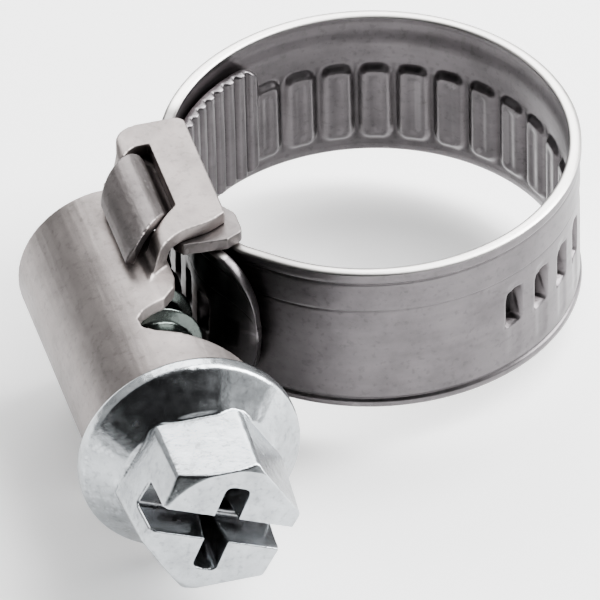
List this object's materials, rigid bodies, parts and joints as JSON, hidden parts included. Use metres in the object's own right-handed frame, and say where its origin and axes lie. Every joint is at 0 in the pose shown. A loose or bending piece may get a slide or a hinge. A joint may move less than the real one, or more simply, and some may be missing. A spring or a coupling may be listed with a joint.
{
  "type": "worm-drive hose clamp",
  "caption": "Worm-drive hose clamp: an embossed steel band, a rolled housing with a clinched saddle, and a flanged hex-head worm screw that tightens the band round a hose.",
  "frame": {"origin": "centre of the ring, half way up the band", "axes": "+Z along the ring's axis; the screw lies along Y with its head towards -Y, on the ring's -X side"},
  "size_m": [0.0261, 0.0284, 0.011],
  "materials": {
    "band_steel": "rolled stainless strip, lightly brushed",
    "housing_steel": "matt stainless sheet",
    "saddle_steel": "stamped stainless sheet",
    "zinc_plate": "bright blue-white zinc plating"
  },
  "bodies": {
    "clamp": {"band": "band_steel", "housing": "housing_steel", "saddle": "saddle_steel"},
    "screw": {"worm_screw": "zinc_plate"}
  },
  "joints": [
    {"name": "screw_turn", "type": "hinge", "parent": "clamp", "child": "screw", "pos_m": [-0.012, -0.0132, 0], "axis": [0, 1, 0], "continuous": true}
  ]
}
